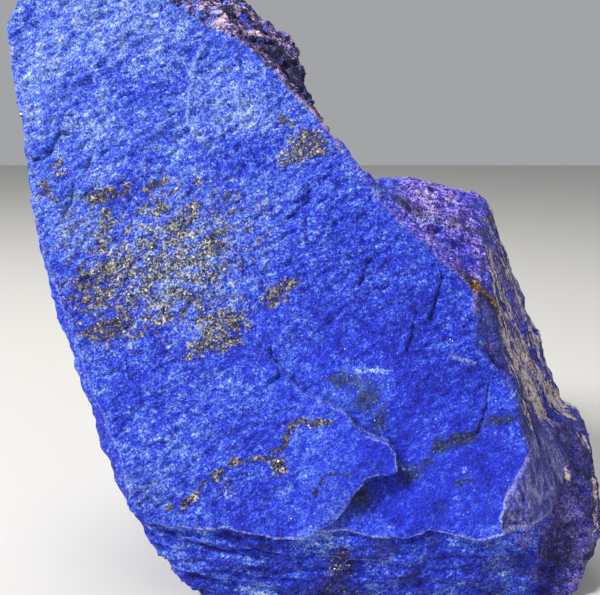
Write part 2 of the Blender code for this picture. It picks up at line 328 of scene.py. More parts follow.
# Wrinkles of the split slope up to the right, and are strongest towards the top
wrinkles = rock_noise(wrinkle_points, (8.0, 2.6, 4.0), 3, 11)
height += split * (0.7 + 0.3 * rise(z, 90, 200)) * (1 - 0.5 * calm) * wrinkles
chips = rock_noise(wrinkle_points, (20, 12, 12), 3, 12) * 1.6
chip_tread = np.floor(chips)
height += split * 0.9 * (1 - 0.4 * calm) * (chip_tread + rise(chips - chip_tread, 0.86, 1.0) - chips)
height += split * 0.4 * (1 - 0.5 * calm) * rock_noise(points, (2.4, 2.4, 2.4), 2, 13)

# The other breaks cross the layers, so the layers' edges stand out on them as thin ribs
edges_of_layers = rock_noise(layer_points, (16, 16, 2.4), 3, 14)
height += rest * (1 - crest) * 0.9 * edges_of_layers * (1 - faces["facing"] ** 2)
height += band * (0.6 + 0.9 * rise(x, -85, -45)) * rock_noise(points, (16, 8, 3.6), 3, 18)
height += rest * 0.6 * rock_noise(points, (5.5, 5.5, 5.5), 3, 15) * (1 + 0.8 * crest + 2.0 * shoulder)
height += rest * 0.25 * rock_noise(points, (2.0, 2.0, 2.0), 2, 16)
hackly = np.abs(rock_noise(points, (22, 18, 22), 3, 19))
height += np.maximum(faces["back"], faces["left"]) * rise(z, 2, 12) * HACKLY_HEIGHT * (0.35 - hackly)

# The crest's break is full of small pits
pitted = rock_noise(points, (10, 6, 5), 3, 17)
height -= crest * PIT_DEPTH * rise(pitted, 0.0, 0.5)

# The flat place that the stone rests on stays as it is
on_foot = (1 - rise(z, 0.2, 2.5)) * rise(-normals[:, 2], 0.5, 0.9)
height *= 1 - on_foot
outwards = split[:, None] * out_of_split + rest[:, None] * normals
outwards /= np.linalg.norm(outwards, axis=1)[:, None]
put_points(block.data, points + outwards * height[:, None])

thin = block.modifiers.new("thin", "DECIMATE")
thin.ratio = min(1.0, ROCK_TRIANGLES / len(block.data.polygons))
settle(block)
put_points(block.data, mesh_arrays(block.data)[0])
block.data.shade_smooth()

# The block's colour
# Lazurite makes the blue, calcite the pale grains and haloes, pyrite the grey-gold patches, and the
# layers that the side breaks cross are violet, beige and dark. Each is a share painted on the points.

# Pyrite patches on the split: X, Z, half length, half width, slope in degrees and strength
PYRITE_PATCHES = [
    (-58, 194, 2, 1.5, 20, 0.9), (-106, 183, 5, 4, 30, 0.7), (-113, 174, 4, 4.5, 40, 0.7),
    (-107, 170, 3, 3, 0, 0.7), (-87, 173, 12, 4, 8, 0.9), (-86, 163, 5, 5, 30, 0.85),
    (-66, 176, 8, 3.4, 25, 0.9), (-64, 167, 4, 5.5, 20, 0.9), (-57, 158, 9, 4.6, 60, 1.1),
    (-51, 165, 6, 4.4, 35, 0.95), (-42, 155, 9, 4.6, 35, 1.05), (-44, 149, 9, 4.6, 25, 1.0),
    (-65, 150, 5, 2.6, 10, 0.9), (-86, 141, 13, 4.4, 15, 1.0), (-92, 133, 8, 8, 30, 0.95),
    (-63, 141, 12, 5, 20, 0.95), (-41, 139, 3.4, 3.4, 0, 0.9), (-51, 132, 4, 6, 0, 0.85),
    (-16, 132, 11, 5.4, 25, 0.85), (-61, 126, 6, 5, 0, 0.85), (-83, 120, 15, 5.6, 18, 1.0),
    (-38, 121, 10, 6.4, 20, 1.0), (-28, 118, 2, 1.6, 0, 0.9), (-40, 112, 9, 3.4, 5, 1.05),
    (-51, 110, 4.2, 3.4, 30, 0.85), (-13, 202, 3.4, 4.4, 20, 0.85), (-4, 192, 11, 6.4, 20, 1.0),
    (-15, 65, 4.6, 4.8, 20, 0.85), (-37, 58, 4.4, 2.6, -20, 0.75), (-66, 146, 52, 36, 20, 0.5),
    (-64, 140, 38, 26, 25, 0.68), (-1, 82, 8, 2.4, 8, 0.85), (-52, 50, 9, 2.4, 30, 0.7),
]

# Pyrite also fills a thin vein in the split, given as a line in X and Z
PYRITE_VEIN = [
    (-59, 48), (-54, 51), (-47, 54), (-44, 60), (-37, 63), (-34, 66), (-26, 68), (-18, 69), (-12, 72),
    (-10, 80), (-7, 82), (6, 81),
]

# Dull green-grey stains on the split
OLIVE_PATCHES = [
    (12, 98, 11, 4.6, 5, 0.75), (21, 91, 9, 7, 50, 0.85), (27, 82, 9, 5.6, 60, 0.8),
    (53, 71.5, 6, 3.4, 35, 1.0), (61, 75, 9, 3.0, 5, 1.05), (77, 82, 9, 3.4, 12, 1.05),
    (68, 78, 6, 2, 30, 0.8), (38, 60, 7, 6, 60, 0.8), (46, 64, 6, 3, 10, 0.75),
    (62, 58, 10, 2.4, 4, 0.7), (19, 51, 6, 5, 30, 0.85), (52, 44, 4, 6, 0, 0.5),
]
OLIVE_ARC = [(0, 52), (1, 57), (4, 61), (10, 63), (16, 62)]

# Pale calcite on the split
PALE_PATCHES = [
    (-72, 152, 8, 3.4, 15, 0.9), (-60, 146, 34, 24, 25, 0.85), (-88, 182, 14, 3, 20, 0.4),
    (-100, 202, 9, 3, 10, 0.5), (-42, 120, 16, 11, 20, 0.7), (24, 102, 6.5, 1.2, -4, 1.8),
    (19, 97, 0.8, 5, 10, 0.9), (36, 63.5, 3.4, 1.2, -12, 1.5), (62, 63, 1.6, 0.7, 20, 1.8),
    (-12, 55, 2.4, 1.6, 40, 1.0), (7, 69, 1.2, 1.2, 0, 0.9), (60, 50, 1.1, 1.1, 0, 1.2),
    (66, 48, 1.1, 1.1, 0, 1.1), (30, 40, 1.2, 1.2, 0, 1.0), (12, 92, 1.4, 1.2, 0, 0.9),
    (29, 77, 1.2, 1.2, 0, 0.9), (-30, 206, 12, 16, 70, 0.45), (-8, 190, 8, 8, 0, 0.4),
    (83, 93, 1.6, 1.2, 0, 1.2), (-36, 54, 4, 2.6, 20, 0.8), (-72, 263, 14, 4, 0, 0.9),
    (-112, 240, 10, 14, 0, 0.1), (-118, 206, 6, 2, 0, 0.8), (-96, 156, 14, 9, 20, 0.5),
    (-70, 238, 20, 14, 10, 0.24), (-38, 214, 12, 16, 80, 0.3),
]

# The slate-coloured bevel beside the split, its darkness partly painted shade of a facet turned from the
# lamp, and the pale dusty lobe below it, as outlines in X and Z
SLATE_OUTLINE = [
    (70, 131), (70, 112), (76, 103), (81, 99), (85, 90), (87, 81), (90, 72), (100, 73), (97, 80),
    (93, 90), (89, 98), (85, 108), (83, 117), (77, 126),
]
LOBE_OUTLINE = [
    (88, 73), (85, 63), (81, 56), (78, 49), (76, 44), (78, 37), (90, 38), (98, 40), (105, 46), (108, 56),
    (101, 73),
]
# The lobe's ridge, which gets a painted highlight, and its groove, which gets painted shade, as lines in X
# and Z
LOBE_RIDGE = [
    (89, 71), (85, 63), (81, 56), (78, 49), (76, 44), (78, 38), (90, 38), (98, 40.5), (105, 46), (108, 55),
]
LOBE_GROOVE = [(91, 73), (92.5, 62), (92, 51)]

# Streaks of other minerals where the side breaks cross the layers: each as a line through places in
# the frame, its half width and its strength
BEIGE_STREAKS = [
    ([(81, -13, 145), (79, -27, 132), (83, -29, 122), (84, -35, 112)], 1.6, 0.95),
    ([(86, -8, 142), (90, -8, 134)], 3.0, 0.6),
    ([(84, -36, 111), (90, -41, 98), (96, -43, 86), (100, -41, 79)], 6.5, 0.95),
    ([(92, -34, 104), (99, -29, 93), (107, -25, 82), (115, -22, 76)], 8.0, 0.8),
    ([(107, -50, 59), (110, -52, 52)], 1.8, 1.0),
    ([(127, -38, 56), (125, -45, 42), (123, -52, 28)], 2.0, 0.8),
]
WHITE_STREAKS = [
    ([(46, -25, 160), (55, -22, 160), (64, -20, 157)], 1.8, 0.9),
    ([(43, -24, 156), (48, -26, 152)], 2.4, 0.7),
    ([(52, -28, 150), (62, -27, 147)], 1.6, 0.5),
    ([(27, -38, 174), (35, -30, 169)], 3.0, 0.6),
    ([(74, -12, 150), (79, -14, 146)], 2.0, 0.7),
    ([(38, -30, 164), (44, -29, 158), (50, -30, 153)], 1.6, 0.8),
    ([(60, -35, 146), (66, -40, 141)], 1.2, 0.8),
]
GREY_STREAKS = [
    ([(24, -42, 176), (30, -34, 173), (36, -26, 170)], 5.0, 0.6),
    ([(44, -24, 159), (54, -20, 163), (66, -18, 160)], 3.5, 0.55),
]
DARK_STREAKS = [
    ([(39, -24, 167), (46, -22, 164)], 2.6, 0.9),
    ([(68, -17, 157), (76, -13, 154)], 2.2, 0.8),
    ([(64, -48, 138), (72, -44, 131), (82, -31, 122)], 6.5, 1.0),
    ([(44, -30, 160), (50, -31, 155)], 1.6, 0.7),
    ([(-16, -5, 232), (-10, -3, 227), (-4, -4, 218)], 7.5, 1.0),
    ([(11, -72, 26), (12, -71, 20), (9, -70, 12)], 5.0, 0.8),
]
RUST_SPOTS = [
    ([(67, -48, 136), (72, -44, 132)], 2.4, 0.95), ([(77, -36, 127), (80, -32, 124)], 2.6, 0.95),
    ([(112, -22, 80), (119, -26, 72)], 1.8, 0.9),
]
SPARKLES = [
    ([(11, -72, 26), (12, -71, 20), (9, -70, 12), (15, -69, 9)], 4.0, 1.0),
    ([(112, -58, 30), (110, -59, 24), (113, -60, 17)], 1.8, 0.8),
]
# Painted shade on the split, in the hollow beside the leaf's edge and low on its left: X, Z, half length,
# half width, slope and strength
SHADE_PATCHES = [(18, 49, 17, 8, 35, 1.0), (-69, 54, 8, 11, 15, 0.6)]

# Only a deep crack gets painted shade and only a high raised edge gets a painted highlight. The pink
# painted highlight on the split's edge lies above its right end, given as X and Z, by a slope. Distances
# are stored up to the paint's reach.
SHADED_CRACK_DEPTH = 0.8
LIT_EDGE_HEIGHT = 0.4
PINK_HIGHLIGHT_END = (62, 118)
PINK_HIGHLIGHT_SLOPE = 1.35
PAINT_REACH = 40


def patches(x, z, spots, core=0.25):
    """The strongest of some slanted oval patches at each point: full in its core, and fading past it."""
    strongest = np.zeros(len(x))
    for spot_x, spot_z, half_length, half_width, slope, strength in spots:
        turn = math.radians(slope)
        along = (x - spot_x) * math.cos(turn) + (z - spot_z) * math.sin(turn)
        over = (z - spot_z) * math.cos(turn) - (x - spot_x) * math.sin(turn)
        gap = np.hypot(along / half_length, over / half_width)
        strongest = np.maximum(strongest, strength * (1 - rise(gap, core, 1.45)))
    return strongest


def streaks(points, lines):
    """The strongest of some streaks through places in the frame, at each point of the block."""
    strongest = np.zeros(len(points))
    for line, half_width, strength in lines:
        for start, end in zip(line, line[1:]):
            start = np.array(start, float)
            along = np.array(end) - start
            share = np.clip((points - start) @ along / (along @ along), 0, 1)
            gap = np.linalg.norm(points - start - share[:, None] * along, axis=1)
            fade = rise(gap, half_width * 0.3, half_width * 1.7)
            strongest = np.maximum(strongest, strength * (1 - fade))
    return strongest


def paint(name, share):
    """Stores a number on every point of the block: a share, or a distance in millimetres."""
    stored = block.data.attributes.new(name, "FLOAT", "POINT")
    stored.data.foreach_set("value", np.clip(share, -PAINT_REACH, PAINT_REACH).astype(np.float32))


points, normals = mesh_arrays(block.data)
faces = faces_of_rock(points, normals)
split, band, crest, side, shoulder = (
    faces[name] for name in ("split", "band", "crest", "side", "shoulder")
)
edge, near_front, behind, facing, ragged = (
    faces[name] for name in ("edge", "near_front", "behind", "facing", "ragged")
)
x, y, z = points.T
unseen = np.maximum(faces["back"], faces["left"]) * (1 - crest)
layer_bands = rock_noise(np.column_stack([x, behind, z]), (70, 6, 60), 3, 61)
wander_x, wander_z = wander(points)
drift_x = x + 2.4 * rock_noise(points, (8, 8, 8), 3, 41)
drift_z = z + 2.4 * rock_noise(points, (8, 8, 8), 3, 42)

# Distances from the lines drawn on the front, which the colour turns into painted highlights on thin rims
# and edges and painted shade in cracks
leaf_gap, leaf_side, leaf_along = near_line(wander_x, wander_z, LEAF_EDGE)
shaded_cracks = [line for line, crack_depth, _ in CRACKS if crack_depth > SHADED_CRACK_DEPTH]
lit_edges = [line for line, raised in RAISED_LINES if raised > LIT_EDGE_HEIGHT]
crack_gaps = [near_line(wander_x, wander_z, line)[0] for line in shaded_cracks]
seam_gaps = [near_line(wander_x, wander_z, line)[0] for line in lit_edges]
ledge_gaps = [near_line(wander_x, wander_z, line)[0] for line, _ in LEDGES]
groove_gap = near_line(wander_x, wander_z, LOBE_GROOVE)[0]
paint("edge_line", edge)
paint("leaf_line", leaf_gap * leaf_side)
paint("leaf_along", leaf_along / (len(LEAF_EDGE) - 1))
paint("crack_line", np.min(crack_gaps, axis=0))
paint("seam_line", np.min(seam_gaps, axis=0))
paint("ledge_line", np.min(ledge_gaps, axis=0))
paint("vein_line", near_line(drift_x, drift_z, PYRITE_VEIN)[0])
paint("arc_line", near_line(drift_x, drift_z, OLIVE_ARC)[0])
paint("lobe_line", near_line(wander_x, wander_z, LOBE_RIDGE)[0])
paint("front", near_front)
paint("split", split)
paint("calm", faces["calm"])
paint("band", band)
paint("band_left", band * (1 - 0.8 * rise(x, -25, 20)))

# Shares of each mineral and each place that has a colour of its own
pyrite_spots = rise(rock_noise(points, (30, 18, 30), 3, 62), 0.25, 0.7)
paint("pyrite", split * patches(drift_x, drift_z, PYRITE_PATCHES, 0.45) + 0.8 * unseen * pyrite_spots)
paint("olive", split * patches(drift_x, drift_z, OLIVE_PATCHES) + shoulder * streaks(points, GREY_STREAKS))
paint("pale", split * patches(drift_x, drift_z, PALE_PATCHES) + (1 - split) * streaks(points, WHITE_STREAKS)
      + 0.6 * unseen * rise(layer_bands, 0.25, 0.7))
slate = rise(inside(drift_x, z, SLATE_OUTLINE), -5.5, 2.5) * rise(facing, 0.0, 0.4)
lobe = rise(inside(drift_x, z, LOBE_OUTLINE), -0.8, 0.8) * rise(facing, 0.0, 0.3)
# Paler towards the upper left, partly the stone's own pale grain and partly painted light from the lamp
# there, and a little paler along the left and low on the split's left
paint("pale_and_lit", 0.12 + 0.72 * rise(z - 0.3 * x, 60, 270) + 0.1 * (1 - rise(x, -116, -50))
      + 0.32 * split * (1 - rise(z, 70, 130)) * (1 - rise(x, -10, 50)))
toe = (1 - split) * rise(x + 5 * ragged, 92, 106) * (1 - rise(z + 12 * ragged, 60, 84))
side_and_toe = np.maximum(side, toe)
violet = np.maximum(shoulder * rise(x + 8 * ragged, 22, 54), 0.7 * side_and_toe)
paint("violet", violet * (1 - slate))
paint("slate", slate * (1 - 0.2 * split))
paint("lobe", lobe * (1 - rise(x, 90, 112) * 0.5))
# The band under the lip is darker in patches towards the right: partly darker layers, partly painted shade
# where it faces down under the lip
band_dark_and_shade = band * 0.55 * rise(rock_noise(points, (14, 12, 9), 3, 51), 0.0, 0.5) * rise(x, -30, 20)
side_dark = 0.4 + 0.5 * rise(rock_noise(points, (13, 9, 13), 3, 52), -0.35, 0.45)
dark_and_shade = np.maximum(band_dark_and_shade * (1 - rise(edge, -2, 0)), side_dark * side_and_toe * (1 - slate))
# Painted shade in the hollow beside the leaf and low on the split's left
dark_and_shade = np.maximum(dark_and_shade, 0.5 * split * patches(drift_x, drift_z, SHADE_PATCHES))
# Painted shade along the lobe's groove
dark_and_shade = np.maximum(dark_and_shade, 0.75 * near_front * (1 - split) * (1 - rise(groove_gap, 0.5, 2.4)))
paint("dark_and_shade", np.maximum(dark_and_shade, (1 - split) * streaks(points, DARK_STREAKS)))
beige_side = side * (0.3 + 0.5 * rise(layer_bands, -0.1, 0.5)) * rise(z + 16 * ragged, 55, 95)
beige = np.maximum(streaks(points, BEIGE_STREAKS), beige_side)
paint("beige", beige * (1 - split) * (1 - lobe) * rise(x, 74, 80))
paint("crust", crest * (1 - rise(x, -60, -80)))
paint("lilac_crest", crest * (1 - rise(x, -38, -20)))
# A pink painted highlight along the split's upper right edge, strongest near the top
highlight_end_x, highlight_end_z = PINK_HIGHLIGHT_END
above_highlight = z - PINK_HIGHLIGHT_SLOPE * (highlight_end_x - x)
upper_right = rise(above_highlight, highlight_end_z - 8, highlight_end_z + 8) * rise(z, 120, 132)
paint("pink_highlight", upper_right * (0.2 + 0.8 * rise(z, 186, 205)))
# A painted highlight along the split's lip and up its left edge
left = 1 - rise(x + 0.35 * (z - 40), -60, -40)
paint("rim_highlight", (1 - upper_right) * np.maximum(0.8 * (1 - rise(z, 46, 60)), 0.35 * left))
paint("rust", (1 - 0.6 * split) * streaks(points, RUST_SPOTS))


def colour(code):
    """A colour in linear light from its screen code, such as 1a2b3c."""
    parts = [int(code[i:i + 2], 16) / 255 for i in (0, 2, 4)]
    linear = [c / 12.92 if c <= 0.04045 else ((c + 0.055) / 1.055) ** 2.4 for c in parts]
    return (*linear, 1)


class Recipe:
    """A material under construction, with one short call for each kind of node."""

    def __init__(self, name):
        self.material = bpy.data.materials.new(name)
        self.material.use_nodes = True
        self.tree = self.material.node_tree
        self.shader = self.tree.nodes["Principled BSDF"]

    def set(self, socket, value):
        """Puts a link or a plain value on a socket."""
        if isinstance(value, bpy.types.NodeSocket):
            self.tree.links.new(value, socket)
        else:
            socket.default_value = value

    def layers(self):
        """Places in millimetres along the rock's own layers: right, across the layers, up the face."""
        coordinates = self.tree.nodes.new("ShaderNodeTexCoord")
        turned = self.tree.nodes.new("ShaderNodeMapping")
        turned.vector_type = "TEXTURE"
        turned.inputs["Rotation"].default_value = (-SPLIT_LEAN, 0, 0)
        turned.inputs["Scale"].default_value = (MM, MM, MM)
        self.set(turned.inputs["Vector"], coordinates.outputs["Object"])
        return turned.outputs["Vector"]

    def stretched(self, places, slope, size):
        """The same places turned in the face by a slope, with lumps of these sizes along each axis."""
        turned = self.tree.nodes.new("ShaderNodeMapping")
        turned.vector_type = "TEXTURE"
        turned.inputs["Rotation"].default_value = (0, -math.radians(slope), 0)
        turned.inputs["Scale"].default_value = size
        self.set(turned.inputs["Vector"], places)
        return turned.outputs["Vector"]

    def mottle(self, places, size=1.0, detail=2.0, roughness=0.6, warp=0.0):
        """A noise texture with lumps of this size, from 0 to 1."""
        texture = self.tree.nodes.new("ShaderNodeTexNoise")
        texture.inputs["Scale"].default_value = 1 / size
        texture.inputs["Detail"].default_value = detail
        texture.inputs["Roughness"].default_value = roughness
        texture.inputs["Distortion"].default_value = warp
        self.set(texture.inputs["Vector"], places)
        return texture.outputs["Fac"]

    def grains(self, places, size):
        """Crystal grains of this size: two random numbers for each, and the distance from its middle."""
        texture = self.tree.nodes.new("ShaderNodeTexVoronoi")
        texture.inputs["Scale"].default_value = 1 / size
        self.set(texture.inputs["Vector"], places)
        parts = self.tree.nodes.new("ShaderNodeSeparateColor")
        self.set(parts.inputs["Color"], texture.outputs["Color"])
        return parts.outputs["Red"], parts.outputs["Green"], texture.outputs["Distance"]

    def painted(self, name):
        """A number that the script stored on the block's points."""
        stored = self.tree.nodes.new("ShaderNodeAttribute")
        stored.attribute_name = name
        return stored.outputs["Fac"]

    def sums(self, operation, first, second=0.0, third=0.0):
        """One step of arithmetic."""
        node = self.tree.nodes.new("ShaderNodeMath")
        node.operation = operation
        for socket, value in zip(node.inputs, (first, second, third)):
            self.set(socket, value)
        return node.outputs[0]

    def scaled(self, share, times, plus):
        """A share times a number, with another number or share added."""
        return self.sums("MULTIPLY_ADD", share, times, plus)

    def product(self, *values):
        """Several shares multiplied."""
        result = values[0]
        for value in values[1:]:
            result = self.sums("MULTIPLY", result, value)
        return result

    def sway(self, value, *swings):
        """A value with the swings of some textures about their middle added, each by its own amount."""
        for texture, amount in swings:
            value = self.sums("MULTIPLY_ADD", self.sums("SUBTRACT", texture, 0.5), amount, value)
        return value

    def step(self, value, low, high, to_low=0.0, to_high=1.0):
        """Rises smoothly between two values."""
        node = self.tree.nodes.new("ShaderNodeMapRange")
        node.interpolation_type = "SMOOTHSTEP"
        for name, number in zip(("From Min", "From Max", "To Min", "To Max"), (low, high, to_low, to_high)):
            self.set(node.inputs[name], number)
        self.set(node.inputs["Value"], value)
        return node.outputs["Result"]

    def line(self, distance, half_width, soft):
        """One where a distance is below a half width, falling to zero over a soft edge."""
        return self.step(self.sums("ABSOLUTE", distance), half_width, half_width + soft, 1.0, 0.0)

    def broken(self, share, swings, low, high, full=0.3):
        """A share broken up by textures between two values, and kept to its own place."""
        torn = self.step(self.sway(share, *swings), low, high)
        return self.product(torn, self.step(share, 0.02, full))

    def ramp(self, value, stops):
        """Colours in order along a value, each as its place and screen code."""
        node = self.tree.nodes.new("ShaderNodeValToRGB")
        points_on_ramp = node.color_ramp.elements
        while len(points_on_ramp) < len(stops):
            points_on_ramp.new(0.5)
        for element, (place, code) in zip(points_on_ramp, stops):
            element.position = place
            element.color = colour(code)
        self.set(node.inputs["Fac"], value)
        return node.outputs["Color"]

    def mix(self, share, first, second):
        """The first colour, and the second one where the share is high."""
        node = self.tree.nodes.new("ShaderNodeMix")
        node.data_type = "RGBA"
        first_colour, second_colour, mixed_colour = node.inputs[6], node.inputs[7], node.outputs[2]
        self.set(node.inputs["Factor"], share)
        self.set(first_colour, first)
        self.set(second_colour, second)
        return mixed_colour

    def bump(self, height, distance, under=None):
        """A fine relief of this many millimetres, on top of another one."""
        node = self.tree.nodes.new("ShaderNodeBump")
        node.inputs["Distance"].default_value = distance * MM
        self.set(node.inputs["Height"], height)
        if under:
            self.set(node.inputs["Normal"], under)
        return node.outputs["Normal"]


rock = Recipe("lapis_rock")
places = rock.layers()
fabric = rock.mottle(rock.stretched(places, WRINKLE_SLOPE, (5.0, 2.0, 1.9)), 1.0, 4, 0.66, 0.3)
fine_grain = rock.mottle(places, 1.0, 3, 0.75)
clumps = rock.mottle(places, 3.2, 3, 0.6)
clouds = rock.mottle(places, 24, 4, 0.6)
grain_first, grain_second, grain_middle = rock.grains(places, 0.85)
front_share = rock.painted("front")
split_share = rock.painted("split")

# The blue, paler towards the upper left, partly its own paler grain and partly painted light where the
# lamp falls most, and in the band streaked along its ledges
fabric_share = rock.scaled(rock.painted("calm"), -0.5, 1.0)
grain_share = rock.scaled(rock.painted("pale_and_lit"), -0.42, 1.3)
grain_share = rock.scaled(rock.painted("calm"), -0.25, grain_share)
blue_value = rock.sway(
    rock.scaled(rock.painted("pale_and_lit"), 0.28, 0.36),
    (fabric, rock.product(fabric_share, 0.85)), (fine_grain, grain_share), (clumps, 0.58),
    (clouds, rock.scaled(rock.painted("band"), 0.8, 0.6)),
    (grain_first, rock.scaled(rock.painted("calm"), -0.16, 0.24)),
)
blue_value = rock.scaled(rock.painted("pale"), 0.16, blue_value)
band_streaks = rock.mottle(rock.stretched(places, -13, (14.0, 5.0, 2.6)), 1.0, 4, 0.6, 0.4)
band_value = rock.product(rock.sway(0.02, (band_streaks, 1.1)), rock.painted("band_left"))
blue = rock.ramp(rock.sums("ADD", blue_value, band_value), [
    (0.0, "060a4a"), (0.2, "101ba6"), (0.4, "1f33da"), (0.56, "4062ee"), (0.72, "7398f8"),
    (0.9, "bed2fd"), (1.0, "f0f5ff"),
])

# The violet shoulder, the dark layers and the painted shade that shares their colour, the slate bevel and
# the dusty lobe
break_lines = rock.mottle(rock.stretched(places, -15, (6.0, 4.0, 2.0)), 1.0, 4, 0.66, 0.4)
violet_colour = rock.ramp(rock.sway(0.57, (break_lines, 1.8), (fine_grain, 2.3), (clouds, 0.9)), [
    (0.2, "0e0a3c"), (0.38, "3024a6"), (0.54, "6148d4"), (0.7, "9c80e6"), (0.88, "dcc8f6"),
])
violet_share = rock.product(rock.painted("violet"), rock.step(clouds, 0.34, 0.56, 0.25, 1.0))
base = rock.mix(violet_share, blue, violet_colour)
dark_colour = rock.ramp(rock.sway(clumps, (fine_grain, 1.3)), [
    (0.25, "05040f"), (0.45, "18164e"), (0.62, "343278"), (0.85, "8480b4"),
])
base = rock.mix(rock.painted("dark_and_shade"), base, dark_colour)
upright = rock.mottle(rock.stretched(places, 106, (12.0, 5.0, 2.6)), 1.0, 4, 0.68, 0.9)
# The bevel's dark blue-grey is partly its own colour and partly painted shade
slate_colour = rock.ramp(rock.sway(0.45, (upright, 1.1), (fine_grain, 0.8), (clumps, 0.4)), [
    (0.22, "0e0f3c"), (0.42, "2a2c72"), (0.58, "484890"), (0.8, "908cc6"),
])
slate_share = rock.product(rock.painted("slate"), rock.step(clumps, 0.3, 0.6, 0.55, 1.0))
base = rock.mix(slate_share, base, slate_colour)
lobe_colour = rock.ramp(rock.sway(0.52, (upright, 1.5), (fine_grain, 0.7), (clumps, 0.4)), [
    (0.2, "181a64"), (0.4, "4042a0"), (0.58, "7270be"), (0.8, "bcb8e2"),
])
base = rock.mix(rock.product(rock.painted("lobe"), 0.85), base, lobe_colour)

# The pitted crest: navy and black, with pink and cream grains standing out of it. The pink and cream are
# partly painted highlights on the raised bits, and the black partly painted shade in the pits.
crust_lumps = rock.mottle(rock.stretched(places, 40, (8.0, 5.0, 4.0)), 1.0, 4, 0.6, 0.4)
crust_value = rock.sway(0.48, (crust_lumps, 3.0), (fine_grain, 2.2), (clumps, 1.0), (grain_first, 0.3))
crust_value = rock.scaled(rock.painted("dark_and_shade"), -0.3, crust_value)
crust_value = rock.scaled(rock.painted("lilac_crest"), 0.05, crust_value)
crust_highlight_and_shade_colour = rock.ramp(crust_value, [
    (0.2, "03030a"), (0.36, "131250"), (0.5, "3a3398"), (0.68, "7768c4"), (0.82, "d0a0b0"),
    (0.97, "fcdcc4"),
])
base = rock.mix(rock.painted("crust"), base, crust_highlight_and_shade_colour)
hollow_share = rock.product(rock.painted("crust"), rock.step(rock.painted("dark_and_shade"), 0.3, 0.8), 0.8)
base = rock.mix(hollow_share, base, dark_colour)

# Beige layers on the side, broken up along the layers
layer_lines = rock.mottle(rock.stretched(places, 0, (10.0, 1.5, 12.0)), 1.0, 4, 0.7, 0.7)
beige_colour = rock.ramp(rock.sway(clumps, (fine_grain, 1.1)), [
    (0.22, "64546a"), (0.4, "baa6a8"), (0.56, "ecdacc"), (0.76, "fffaf0"),
])
beige_share = rock.broken(rock.painted("beige"), [(layer_lines, 4.2), (fine_grain, 0.9)], 0.5, 0.85)
base = rock.mix(rock.product(beige_share, 0.92), base, beige_colour)

# Dull stains on the split
arc_share = rock.product(rock.line(rock.painted("arc_line"), 0.6, 1.0), split_share, 0.9)
stain = rock.sums("MAXIMUM", rock.painted("olive"), arc_share)
olive_colour = rock.ramp(fine_grain, [(0.3, "070b1c"), (0.46, "121d3a"), (0.6, "364444"), (0.8, "84866f")])
olive_share = rock.broken(stain, [(clumps, 1.5), (fine_grain, 0.7)], 0.25, 0.95)
base = rock.mix(rock.product(olive_share, 0.85), base, olive_colour)

# Pyrite, finely mixed with the blue
pyrite_noise = rock.mottle(rock.stretched(places, WRINKLE_SLOPE, (5.0, 2.6, 2.8)), 1.0, 5, 0.66, 0.4)
vein_share = rock.line(rock.sway(rock.painted("vein_line"), (pyrite_noise, 5.0)), 0.9, 1.5)
vein_share = rock.product(vein_share, rock.step(clumps, 0.38, 0.54, 0.45, 1.0))
ore_share = rock.sums("MAXIMUM", rock.painted("pyrite"), rock.product(vein_share, split_share, 0.95))
pyrite_share = rock.broken(ore_share, [(pyrite_noise, 3.2), (clumps, 1.2)], 0.36, 0.85, 0.25)
speckle = rock.step(rock.sway(0.5, (fine_grain, 0.9), (clumps, 0.9)), 0.32, 0.5, 0.25, 0.95)
metal_share = rock.product(pyrite_share, speckle)
pyrite_value = rock.sway(
    rock.scaled(vein_share, -0.08, 0.5), (fine_grain, 1.2), (grain_second, 0.3), (clumps, 1.2),
)
pyrite_colour = rock.ramp(pyrite_value, [
    (0.24, "0b0a10"), (0.43, "332e2d"), (0.57, "6c6459"), (0.71, "b4ada0"), (0.88, "f6f2ea"),
])
base = rock.mix(metal_share, base, pyrite_colour)

# Pale grains of calcite, and small bright specks that are partly calcite and partly painted glints
pale_share = rock.product(rock.painted("pale"), rock.step(fine_grain, 0.5, 0.64), 0.8)
base = rock.mix(pale_share, base, colour("d2e2fd"))
speck_and_glint_share = rock.product(
    rock.step(grain_first, 0.94, 0.97), rock.line(grain_middle, 0.25, 0.2),
    rock.step(clouds, 0.4, 0.6), front_share, 0.5,
)
base = rock.mix(speck_and_glint_share, base, colour("c8d8fb"))

